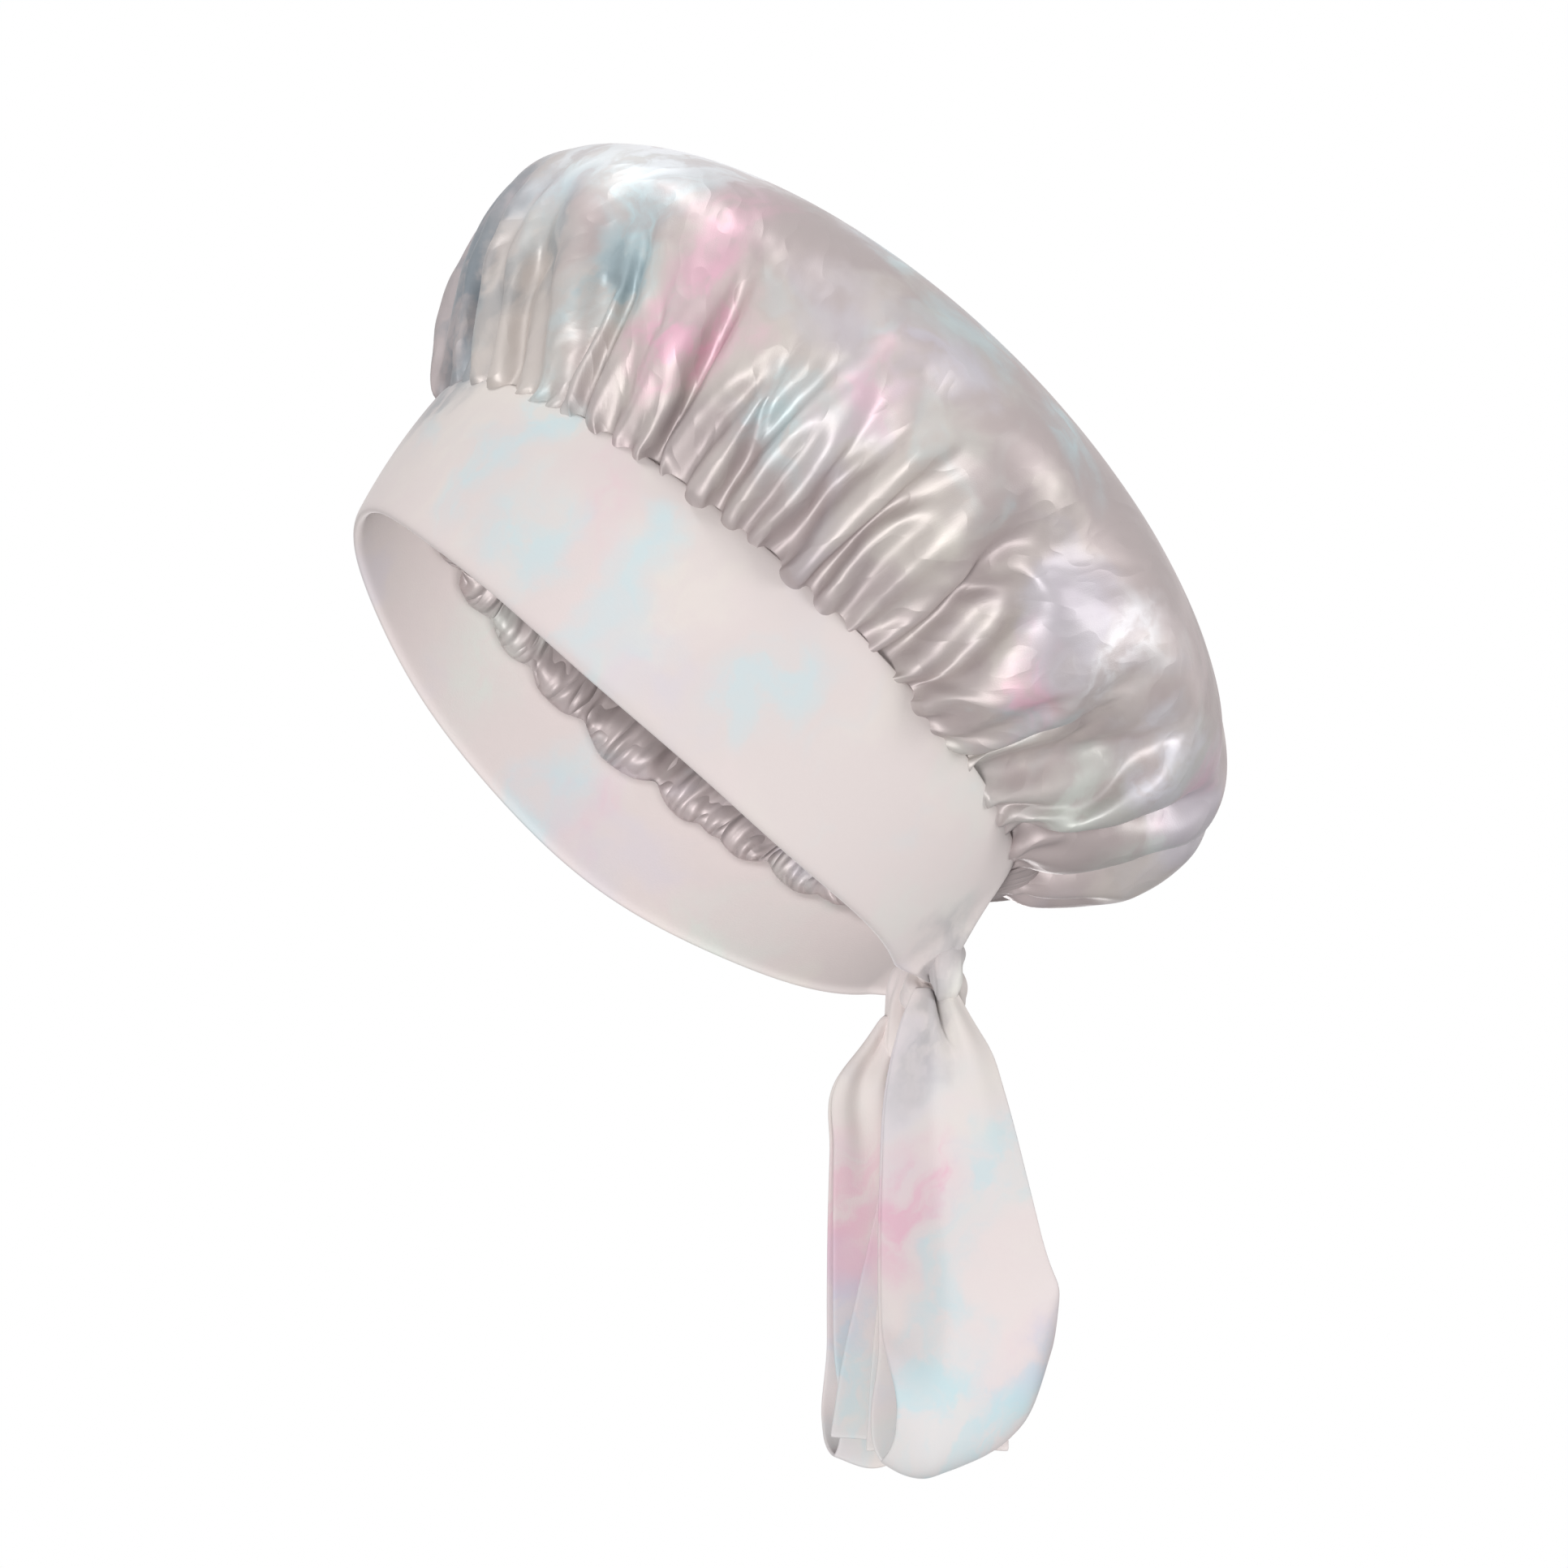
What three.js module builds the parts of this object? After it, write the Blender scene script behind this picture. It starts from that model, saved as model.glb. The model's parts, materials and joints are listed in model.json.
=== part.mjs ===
// Satin hair bonnet: a gathered satin crown and its lining, sewn into a wide folded band
// that ties in a bow at the nape, with two hanging loops and two tie ends.
// Millimetres, +Z up as worn, the wearer faces -Y, and +X is the wearer's left.
// The origin is the middle of the head opening, at the band's lower edge.
import * as THREE from "three";
import { mergeVertices } from "three/addons/utils/BufferGeometryUtils.js";

const { degToRad, lerp, smoothstep } = THREE.MathUtils;

// The head opening and the band
const OPENING_LENGTH = 197; // lower edge, forehead to nape
const OPENING_BREADTH = 158; // lower edge, side to side
const BAND_TILT = degToRad(40); // the nape sits lower than the forehead
const BAND_HEIGHT = 46; // lower edge to crown seam, at the forehead
const BAND_SIDE_DIP = 13; // extra width over the ears
const BAND_FLARE = 4; // the seam ring stands out from the lower edge by this, all round
const BAND_BULGE = 1.5; // the band's face is a little convex
const PLY = 1; // one layer of the folded band
const FOLD_ROOM = 0.8; // between the band's two layers, at the fold
const TAPER_ANGLE = degToRad(163); // from the forehead to where the top edge starts down
const BAND_END_TOP = 20; // top edge at the tied ends
const BAND_END_FOOT = 2; // lower edge at the tied ends
const BAND_END_FLARE = 8; // the tied ends are pulled out from the nape by this

// The satin crown and its lining
const SATIN = 1; // one satin layer
const SEAM_ALLOWANCE = 8; // satin tucked into the band
const SEAM_EASE = 0.7; // between one layer and the next in the seam
const CROWN_OVERHANG = 30; // the crown stands out past its seam by this, all round
const CROWN_SHOULDER = 49; // seam up to the widest ring
const CROWN_DOME = 56; // widest ring up to the top
const CROWN_SHIFT = 6; // the crown sits this far towards the nape
const CROWN_LEAN = 0.04; // and drops towards the nape at this rate
const GATHERS = 17; // main folds round the crown
const GATHER_DEPTH = 7; // a fold stands out from the mean surface by this
const GATHER_UNEVEN = 0.28; // the folds' widths and depths differ by this share
const LINING_SLACK = 14; // between crown and lining
const LINING_ROLL = 6; // the lining rolls in over the band by this
const LINING_ROLL_RISE = 5; // and turns up this far above the seam

// The elastic, its thread and the nape casing
const ELASTIC_WIDTH = 6;
const ELASTIC_THICKNESS = 1.4;
const THREAD = 0.9; // the seam's thread bundle, across
const CASING_PLY = 0.8;
const CASING_LENGTH = 27;

// The knot, the bow loops and the tie ends
const STRAND_RADIUS = 4.2; // a tie pulled tight in the knot
const STRAND_LAP = degToRad(70); // each strand runs past its half turn by this
const KNOT_DROP = 7; // knot below the middle of the band's ends
const TIE_CLOTH = 1.2; // the ties' folded cloth
const STRIP_FULL = 0.45; // share of its length at which a loop or end is at full width
const LOOP_NECK = 9; // a bow loop at the knot
const LOOP_WIDTH = 47; // and at its widest
const LOOP_DEPTH = 13; // between its two layers
const LOOP_EDGE_LIFT = 15; // its edges turn round higher than its middle
const LOOP_SPREAD = 5; // the left loop hangs behind the knot and the right one before it
const LEFT_LOOP_LENGTH = 137;
const RIGHT_LOOP_LENGTH = 129;
const END_NECK = 4;
const END_WIDTH = 48;
const LEFT_END_LENGTH = 115;
const RIGHT_END_LENGTH = 110;

const CLEARANCE = 0.35; // between pieces that touch or turn on each other

// Facets
const STATIONS_PER_GATHER = 4;
const LINING_STATIONS = 44;
const BAND_STATIONS = 52;
const RING_STATIONS = 56;
const CASING_STATIONS = 6;
const THREAD_SIDES = 5;
const STRAND_STEPS = 20;
const STRAND_SIDES = 10;
const LOOP_STEPS = 26;
const END_STEPS = 10;
const STRIP_STEPS = 6; // across a hanging strip

const HALF_LENGTH = OPENING_LENGTH / 2;
const HALF_BREADTH = OPENING_BREADTH / 2;
const TURN = 2 * Math.PI;

// The seam: crown and lining lie side by side between the band's two layers
const CHANNEL = 2 * SATIN + 3 * SEAM_EASE;
const SEAM_FOOT = BAND_HEIGHT - SEAM_ALLOWANCE;
const SEAM_HEIGHT = BAND_HEIGHT + CLEARANCE;
const WIDEST_HEIGHT = SEAM_HEIGHT + CROWN_SHOULDER;
const CROWN_TOP = WIDEST_HEIGHT + CROWN_DOME;
const ELASTIC_TOP = SEAM_FOOT - CLEARANCE;
const ELASTIC_FOOT = ELASTIC_TOP - ELASTIC_WIDTH;
const THREAD_HEIGHT = ELASTIC_FOOT - CLEARANCE - THREAD / 2;
const CASING_FOOT = THREAD_HEIGHT - THREAD / 2 - CLEARANCE;

// The knot: two strands twisted half a turn round each other, on an upright axis
const HELIX_RADIUS = 1.035 * STRAND_RADIUS + CLEARANCE / 2;
const HELIX_PITCH = 5.8 * STRAND_RADIUS; // keeps the two strands clear of each other
const KNOT_SIDE = HELIX_RADIUS + STRAND_RADIUS + CLEARANCE;
const BAND_END_MIDDLE = (BAND_END_TOP + BAND_END_FOOT) / 2;

const cloth = (color, roughness) =>
  new THREE.MeshStandardMaterial({ color, roughness, metalness: 0 });
const crownSatin = cloth(0xe6d6d8, 0.35);
const liningSatin = cloth(0xd6c8ca, 0.4);
const bandJersey = cloth(0xe8dedb, 0.75);
const tieJersey = cloth(0xecdcde, 0.75);
const elasticKnit = cloth(0xf2efe9, 0.85);
const threadPolyester = cloth(0xdcd2d0, 0.6);

function piece(name, geometry, material) {
  const mesh = new THREE.Mesh(geometry, material);
  mesh.name = name;
  return mesh;
}

const steps = (count, make) => Array.from({ length: count }, (_, i) => make(i));

// A closed solid from points and faces: shared points are merged, collapsed faces are
// dropped, and the faces are turned outwards.
function solid(points, faces) {
  const geometry = new THREE.BufferGeometry().setFromPoints(points).setIndex(faces.flat());
  const merged = mergeVertices(geometry, 1e-4);
  const corner = (n) =>
    new THREE.Vector3().fromBufferAttribute(merged.attributes.position, n);
  const kept = [];
  let volume = 0;
  for (let n = 0; n < merged.index.count; n += 3) {
    const [a, b, c] = [0, 1, 2].map((k) => merged.index.getX(n + k));
    if (a === b || b === c || c === a) continue;
    kept.push([a, b, c]);
    volume += corner(a).dot(corner(b).cross(corner(c)));
  }
  const outwards = ([a, b, c]) => (volume < 0 ? [a, c, b] : [a, b, c]);
  merged.setIndex(kept.flatMap(outwards));
  merged.computeVertexNormals();
  return merged;
}

// A solid through sections, each a polygon of the same number of points. Without an end
// outline the last section joins the first; with one, a flat copy of the polygon, both
// ends are filled.
function loft(sections, endOutline) {
  const size = sections[0].length;
  const at = (i, j) => (i % sections.length) * size + (j % size);
  const faces = [];
  const spans = endOutline ? sections.length - 1 : sections.length;
  for (let i = 0; i < spans; i += 1)
    for (let j = 0; j < size; j += 1) {
      faces.push([at(i, j), at(i, j + 1), at(i + 1, j + 1)]);
      faces.push([at(i, j), at(i + 1, j + 1), at(i + 1, j)]);
    }
  if (endOutline) {
    const fill = THREE.ShapeUtils.triangulateShape(endOutline, []);
    const turned = THREE.ShapeUtils.isClockWise(endOutline);
    for (const face of fill) {
      const [a, b, c] = turned ? face.toReversed() : face;
      faces.push([c, b, a].map((j) => at(0, j)));
      faces.push([a, b, c].map((j) => at(spans, j)));
    }
  }
  return solid(sections.flat(), faces);
}

const outline = (pairs) => pairs.map(([x, y]) => new THREE.Vector2(x, y));

// A point on an oval ring round the head, in the band's own frame. The angle runs from
// the forehead towards the wearer's left, and the offset is outwards from the lower edge.
function ringPoint(angle, offset, height) {
  const x = (HALF_BREADTH + offset) * Math.sin(angle);
  const y = -(HALF_LENGTH + offset) * Math.cos(angle);
  return new THREE.Vector3(x, y, height);
}

// Angle at which a ring comes within a distance of the middle of the nape
const napeAngle = (offset, distance) => Math.PI - Math.asin(distance / (HALF_BREADTH + offset));

// How far a place at this angle is into the tied end, from 0 to 1
const tiedShare = (angle) => smoothstep(Math.abs(angle), TAPER_ANGLE, napeAngle(0, KNOT_SIDE));

// Offset of the band's middle surface at a share of the band's height
function bandOffset(angle, share) {
  const face = BAND_FLARE * share + BAND_BULGE * 4 * share * (1 - share);
  const pull = BAND_END_FLARE * tiedShare(angle) * Math.max(1 - share, 0) ** 1.5;
  return face + pull;
}

// The band's folded section: outer layer down, round the fold, inner layer up, then the
// room between them. Pairs of an offset from the middle surface and a share of the height.
function foldedSection() {
  const shares = [1, 0.66, 0.33, 0.05];
  const layer = (side, extra) =>
    shares.map((share) => [side * (lerp(FOLD_ROOM, CHANNEL, share) / 2 + extra), share]);
  const foldShare = shares.at(-1) - PLY / BAND_HEIGHT;
  return [
    ...layer(1, PLY),
    [0, foldShare - PLY / BAND_HEIGHT],
    ...layer(-1, PLY).reverse(),
    ...layer(-1, 0),
    [0, foldShare],
    ...layer(1, 0).reverse(),
  ];
}

function headband() {
  const section = foldedSection();
  const along = (i) => (2 * i) / BAND_STATIONS - 1;
  const sections = steps(BAND_STATIONS + 1, (i) => {
    const angle = along(i) * napeAngle(0, KNOT_SIDE);
    const tied = tiedShare(angle);
    const low = lerp(-BAND_SIDE_DIP * Math.sin(angle) ** 2, BAND_END_FOOT, tied);
    const high = lerp(BAND_HEIGHT, BAND_END_TOP, tied);
    return section.map(([out, share]) => {
      const offset = bandOffset(angle, share) + out;
      return ringPoint(along(i) * napeAngle(offset, KNOT_SIDE), offset, lerp(low, high, share));
    });
  });
  const end = outline(section.map(([out, share]) => [out, share * BAND_HEIGHT]));
  return piece("headband", loft(sections, end), bandJersey);
}

// A point of the crown or lining. Above the seam the satin shifts and leans to the nape.
function satinPoint(angle, [offset, height, share = 1]) {
  const lift = smoothstep(height, SEAM_HEIGHT, WIDEST_HEIGHT);
  const x = (HALF_BREADTH + offset) * share * Math.sin(angle);
  const y = CROWN_SHIFT * lift - (HALF_LENGTH + offset) * share * Math.cos(angle);
  return new THREE.Vector3(x, y, height - CROWN_LEAN * y * lift);
}

// One meridian of a satin shell: up the outer face, over the top and down the inner one
function satinSection(angle, meridian, top) {
  const outwards = new THREE.Vector3(Math.sin(angle), -Math.cos(angle), 0);
  const outer = meridian.map((point) => satinPoint(angle, point));
  const inner = outer.map((point, k) => {
    const before = outer[Math.max(k - 1, 0)];
    const after = outer[Math.min(k + 1, outer.length - 1)];
    const run = after.clone().sub(before);
    const reach = run.dot(outwards);
    const step = SATIN / Math.hypot(reach, run.z);
    const moved = point.clone().addScaledVector(outwards, -run.z * step);
    return moved.setZ(moved.z + reach * step);
  });
  const tops = [top, top - SATIN].map((height) => satinPoint(angle, [0, height, 0]));
  return [...outer, ...tops, ...inner.reverse()];
}

// The gathers differ in width and depth, so they look drawn up by hand
const gatherStart = (n) => ((n + GATHER_UNEVEN * Math.sin(2.4 * (n % GATHERS))) * TURN) / GATHERS;
const gatherStrength = (n) => 1 - GATHER_UNEVEN * (1 + Math.sin(1.7 * n));

function crownOuter() {
  const seamFace = BAND_FLARE + SATIN + SEAM_EASE / 2;
  // Turns below the widest ring and above it, with the share of the folds at each
  const shoulder = [[80, 0.1], [52, 0.9], [26, 0.8], [0, 0.45]];
  const dome = [[22, 0.25], [45, 0.1], [68, 0]];
  const sections = steps(STATIONS_PER_GATHER * GATHERS, (i) => {
    const gather = Math.floor(i / STATIONS_PER_GATHER);
    const within = (i % STATIONS_PER_GATHER) / STATIONS_PER_GATHER;
    const angle = lerp(gatherStart(gather), gatherStart(gather + 1), within);
    const wave = GATHER_DEPTH * gatherStrength(gather) * Math.cos(TURN * within);
    const meridian = [[seamFace, SEAM_FOOT], [seamFace, SEAM_HEIGHT]];
    for (const [degrees, share] of shoulder) {
      const turn = degToRad(degrees);
      const reach = seamFace + (CROWN_OVERHANG + wave * share) * Math.cos(turn);
      const fall = CROWN_SHOULDER + wave * share * Math.sin(turn);
      meridian.push([reach, WIDEST_HEIGHT - fall * Math.sin(turn)]);
    }
    for (const [degrees, share] of dome) {
      const turn = degToRad(degrees);
      const height = WIDEST_HEIGHT + CROWN_DOME * Math.sin(turn);
      meridian.push([seamFace + CROWN_OVERHANG + wave * share, height, Math.cos(turn)]);
    }
    return satinSection(angle, meridian, CROWN_TOP);
  });
  return piece("crown_outer", loft(sections), crownSatin);
}

function crownLining() {
  const seamFace = BAND_FLARE - SEAM_EASE / 2;
  const rollHeight = SEAM_HEIGHT + LINING_ROLL_RISE;
  const rollOffset = seamFace - LINING_ROLL;
  const widest = BAND_FLARE + CROWN_OVERHANG - LINING_SLACK;
  const meridian = [
    [seamFace, SEAM_FOOT],
    [seamFace, SEAM_HEIGHT + SATIN / 2],
    [lerp(seamFace, rollOffset, 0.65), SEAM_HEIGHT + 2 * SATIN],
  ];
  for (const degrees of [90, 60, 30, 0]) {
    const turn = degToRad(degrees);
    const height = WIDEST_HEIGHT - (WIDEST_HEIGHT - rollHeight) * Math.sin(turn);
    meridian.push([lerp(rollOffset, widest, Math.cos(turn)), height]);
  }
  const domeHeight = CROWN_DOME - LINING_SLACK;
  for (const degrees of [30, 60]) {
    const turn = degToRad(degrees);
    meridian.push([widest, WIDEST_HEIGHT + domeHeight * Math.sin(turn), Math.cos(turn)]);
  }
  const sections = steps(LINING_STATIONS, (i) =>
    satinSection((i * TURN) / LINING_STATIONS, meridian, WIDEST_HEIGHT + domeHeight),
  );
  return piece("crown_lining", loft(sections), liningSatin);
}

// A closed ring in the seam, from a section of pairs of offset and height
function seamRing(name, section, material) {
  const sections = steps(RING_STATIONS, (i) =>
    section.map(([offset, height]) => ringPoint((i * TURN) / RING_STATIONS, offset, height)),
  );
  return piece(name, loft(sections), material);
}

function hemElastic() {
  const half = ELASTIC_THICKNESS / 2;
  const middle = bandOffset(0, (ELASTIC_TOP + ELASTIC_FOOT) / 2 / BAND_HEIGHT);
  const section = [
    [middle + half, ELASTIC_FOOT],
    [middle + half, ELASTIC_TOP],
    [middle - half, ELASTIC_TOP],
    [middle - half, ELASTIC_FOOT],
  ];
  return seamRing("hem_elastic", section, elasticKnit);
}

function seamThread() {
  const middle = bandOffset(0, THREAD_HEIGHT / BAND_HEIGHT);
  const section = steps(THREAD_SIDES, (k) => {
    const turn = (k * TURN) / THREAD_SIDES;
    return [middle + (THREAD / 2) * Math.cos(turn), THREAD_HEIGHT + (THREAD / 2) * Math.sin(turn)];
  });
  return seamRing("seam_thread", section, threadPolyester);
}

// A short binding that closes the crown's edge over the nape, between the band's ends
function napeCasing() {
  const inner = CHANNEL / 2;
  const outer = inner + CASING_PLY;
  const section = [
    [outer, BAND_HEIGHT],
    [outer, CASING_FOOT - CASING_PLY],
    [-outer, CASING_FOOT - CASING_PLY],
    [-outer, BAND_HEIGHT],
    [-inner, BAND_HEIGHT],
    [-inner, CASING_FOOT],
    [inner, CASING_FOOT],
    [inner, BAND_HEIGHT],
  ];
  const half = Math.PI - napeAngle(BAND_FLARE, CASING_LENGTH / 2);
  const sections = steps(CASING_STATIONS + 1, (i) => {
    const angle = lerp(Math.PI - half, Math.PI + half, i / CASING_STATIONS);
    return section.map(([offset, height]) => ringPoint(angle, BAND_FLARE + offset, height));
  });
  return piece("nape_casing", loft(sections, outline(section)), crownSatin);
}

// The knot's centre as worn, from the middle of the band's ends
function knotCentre() {
  const halfway = 0.5;
  const offset = bandOffset(napeAngle(0, KNOT_SIDE), halfway);
  const middle = ringPoint(Math.PI, offset, BAND_END_MIDDLE);
  middle.applyAxisAngle(new THREE.Vector3(1, 0, 0), -BAND_TILT);
  return middle.setZ(middle.z - KNOT_DROP);
}

const KNOT = knotCentre();

// A strand's middle line and its direction. It starts beside the band's end on its own
// side and goes round to the other side as it drops.
function strandPoint(side, turn) {
  const x = side * HELIX_RADIUS * Math.cos(turn);
  const y = side * HELIX_RADIUS * Math.sin(turn);
  return new THREE.Vector3(x, y, HELIX_PITCH * (0.25 - turn / TURN)).add(KNOT);
}

function strandAxes(side, turn) {
  const along = new THREE.Vector3(-side * Math.sin(turn), side * Math.cos(turn), 0);
  along.multiplyScalar(HELIX_RADIUS).setZ(-HELIX_PITCH / TURN).normalize();
  const out = new THREE.Vector3(side * Math.cos(turn), side * Math.sin(turn), 0);
  return [out, new THREE.Vector3().crossVectors(along, out)];
}

const strandEnd = Math.PI + STRAND_LAP;

function knotStrand(name, side) {
  const sections = steps(STRAND_STEPS + 1, (i) => {
    const turn = lerp(-STRAND_LAP, strandEnd, i / STRAND_STEPS);
    const [out, up] = strandAxes(side, turn);
    return steps(STRAND_SIDES, (k) => {
      const around = (k * TURN) / STRAND_SIDES;
      const point = strandPoint(side, turn);
      point.addScaledVector(out, STRAND_RADIUS * Math.cos(around));
      return point.addScaledVector(up, STRAND_RADIUS * Math.sin(around));
    });
  });
  const circle = steps(STRAND_SIDES, (k) => {
    const around = (k * TURN) / STRAND_SIDES;
    return [Math.cos(around), Math.sin(around)];
  });
  return piece(name, loft(sections, outline(circle)), tieJersey);
}

// Lowest point of a strand's end, where a tie end hangs
function strandFoot(side) {
  const [, up] = strandAxes(side, strandEnd);
  const sign = up.z > 0 ? -1 : 1;
  return strandPoint(side, strandEnd).addScaledVector(up, sign * STRAND_RADIUS);
}

// A strip from stations that give the middle point, half width, facing direction and the
// rise of a point across it, from -1 at its front edge to 1 at its back edge
function strip(name, stations) {
  const across = steps(STRIP_STEPS + 1, (k) => (2 * k) / STRIP_STEPS - 1);
  const face = (station, side) =>
    across.map((place) => {
      const { middle, halfWidth, facing, rise } = station;
      const point = middle.clone().addScaledVector(facing, (side * TIE_CLOTH) / 2);
      point.y += place * halfWidth;
      point.z += rise(place);
      return point;
    });
  const sections = stations.map((station) => [...face(station, 1), ...face(station, -1).reverse()]);
  const flat = [...across.map((place) => [place, 1]), ...across.map((place) => [-place, -1])];
  return piece(name, loft(sections, outline(flat)), tieJersey);
}

// Half width of a hanging strip: a round neck at the knot, then opening to its full width
function hangingHalfWidth(depth, length, neck, width) {
  const round = Math.sqrt(depth * (neck - depth));
  const half = lerp(neck, width, smoothstep(depth, neck / 2, STRIP_FULL * length)) / 2;
  return depth < neck / 2 ? Math.max(round, TIE_CLOTH / 2) : half;
}

// A bow loop hangs beside the knot: down its inner layer, round and up its outer one
function bowLoop(name, side, length) {
  const top = KNOT.z - HELIX_PITCH / 4 + LOOP_NECK / 2;
  const innerFace = KNOT_SIDE + TIE_CLOTH / 2;
  const layerStep = (TIE_CLOTH + CLEARANCE) / 2;
  const fullest = 2.8; // the swell then reaches the loop's depth
  const innerShare = 0.1; // the inner layer hangs nearly straight
  const place = (s) => {
    const swell = fullest * LOOP_DEPTH * (1 - s * s) ** 1.2 * s;
    const out = innerFace + layerStep * (1 + s) + (s > 0 ? swell : innerShare * swell);
    return new THREE.Vector3(side * out, KNOT.y + side * LOOP_SPREAD, top - length * (1 - s * s));
  };
  const nudge = 0.02;
  const stations = steps(LOOP_STEPS + 1, (i) => {
    const s = (2 * i) / LOOP_STEPS - 1;
    const drop = 1 - s * s;
    const run = place(Math.min(s + nudge, 1)).sub(place(Math.max(s - nudge, -1)));
    run.setY(0).normalize();
    const lift = LOOP_EDGE_LIFT * smoothstep(drop, 0.5, 1);
    return {
      middle: place(s),
      halfWidth: hangingHalfWidth(drop * length, length, LOOP_NECK, LOOP_WIDTH),
      facing: new THREE.Vector3(run.z, 0, -run.x),
      rise: (across) => lift * across * across,
    };
  });
  return strip(name, stations);
}

// A tie end hangs flat under its strand
function tieEnd(name, side, length) {
  const foot = strandFoot(-side);
  const crowding = 1.6; // more stations at the round neck
  const stations = steps(END_STEPS + 1, (i) => {
    const drop = (i / END_STEPS) ** crowding;
    return {
      middle: new THREE.Vector3(foot.x, foot.y, foot.z - CLEARANCE - length * drop),
      halfWidth: hangingHalfWidth(drop * length, length, END_NECK, END_WIDTH),
      facing: new THREE.Vector3(1, 0, 0),
      rise: () => 0,
    };
  });
  return strip(name, stations);
}

const sewn = new THREE.Group();
sewn.rotation.x = -BAND_TILT;
sewn.add(headband(), crownOuter(), crownLining());
sewn.add(hemElastic(), seamThread(), napeCasing());

const bonnet = new THREE.Group();
bonnet.add(sewn);
bonnet.add(knotStrand("left_strand", 1), knotStrand("right_strand", -1));
bonnet.add(bowLoop("left_bow_loop", 1, LEFT_LOOP_LENGTH));
bonnet.add(bowLoop("right_bow_loop", -1, RIGHT_LOOP_LENGTH));
bonnet.add(tieEnd("left_tie_end", 1, LEFT_END_LENGTH));
bonnet.add(tieEnd("right_tie_end", -1, RIGHT_END_LENGTH));

export default bonnet;
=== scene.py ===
"""The looks of a satin hair bonnet: a gathered crown and its lining, a folded jersey band,
and a bow at the nape. Metres, in the row frame: +Z up as worn, the wearer faces -Y, and
+X is the wearer's left."""
import json
import math

import bmesh
import bpy
import numpy as np
from mathutils import Euler, Matrix, Vector


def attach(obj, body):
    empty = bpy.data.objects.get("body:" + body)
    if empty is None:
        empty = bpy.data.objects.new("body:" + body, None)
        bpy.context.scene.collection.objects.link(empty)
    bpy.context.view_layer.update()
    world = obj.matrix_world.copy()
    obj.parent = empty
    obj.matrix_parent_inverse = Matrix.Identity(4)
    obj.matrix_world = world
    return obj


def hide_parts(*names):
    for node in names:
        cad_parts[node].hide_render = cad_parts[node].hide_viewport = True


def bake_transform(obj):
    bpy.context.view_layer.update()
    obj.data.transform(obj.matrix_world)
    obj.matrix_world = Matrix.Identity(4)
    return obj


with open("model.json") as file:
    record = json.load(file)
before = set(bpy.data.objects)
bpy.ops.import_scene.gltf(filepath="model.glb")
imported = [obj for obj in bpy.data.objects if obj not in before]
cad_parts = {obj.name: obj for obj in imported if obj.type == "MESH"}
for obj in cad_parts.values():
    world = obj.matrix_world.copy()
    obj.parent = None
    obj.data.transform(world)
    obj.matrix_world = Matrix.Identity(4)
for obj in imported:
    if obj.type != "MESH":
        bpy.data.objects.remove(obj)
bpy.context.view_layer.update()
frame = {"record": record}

MM = 0.001

# The head opening and the band, as in the solids
HALF_BREADTH = 79 * MM
HALF_LENGTH = 98.5 * MM
opening_axis = Vector(frame["record"]["mounts"][0]["axis"])
TILT = math.atan2(-opening_axis.y, -opening_axis.z)
BAND_HEIGHT = 46 * MM
BAND_SIDE_DIP = 14 * MM
BAND_FLARE = 4 * MM
BAND_BULGE = 1.5 * MM
BAND_PLY = 0.9 * MM
FOLD_ROOM = 1.0 * MM
CHANNEL = 4.1 * MM  # between the band's layers at the seam
TAPER_ANGLE = math.radians(165)
BAND_END_TOP = 23 * MM
BAND_END_FOOT = 5 * MM
BAND_END_FLARE = 10 * MM
KNOT_SIDE = 9.1 * MM  # from the middle of the nape to the band's ends

# The satin crown and its lining
SEAM_HEIGHT = 46.35 * MM
CROWN_SEAM = 5.35 * MM  # the satin's way out of the band, outwards from the lower edge
CROWN_OVERHANG = 30 * MM
CROWN_SHOULDER = 49 * MM
CROWN_DOME = 56 * MM
CROWN_SHIFT = 2 * MM
CROWN_LEAN = 0.04
CROWN_CUT = np.array([213, 229]) * MM  # half-axes of the flat oval
LINING_SLACK = 18 * MM
# The roll of lining over the band, from the crown to the seam: offset and height in mm
LINING_ROLL = [
    (6, 66), (0, 48), (-6, 35), (-7, 29), (-3, 27), (-0.4, 32), (0.4, 42), (1.6, 48), (3.65, 48),
    (3.65, 39),
]
LINING_CUT = np.array([202, 218]) * MM
LINING_DIP = 10 * MM  # how much lower the roll hangs at the sides
TUCK = 7 * MM  # satin inside the band

# The knot and what hangs from it
KNOT = Vector((0, 87.4, -66)) * MM
STRAND_RADIUS = 4.4 * MM
HELIX_RADIUS = 4.5 * MM
HELIX_PITCH = 24.4 * MM
TIE_PLY = 1.1 * MM

COS = math.cos(TILT)
SIN = math.sin(TILT)
TURN = 2 * math.pi


# Shapes

def smooth(value, low, high):
    """A soft step from 0 at low to 1 at high."""
    share = np.clip((value - low) / (high - low), 0, 1)
    return share * share * (3 - 2 * share)


def lerp(a, b, share):
    return a + (b - a) * share


def worn(x, y, z):
    """Row-frame points from the band's own frame, whose z runs up to the crown."""
    return np.stack([x, y * COS + z * SIN, z * COS - y * SIN], -1)


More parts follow.
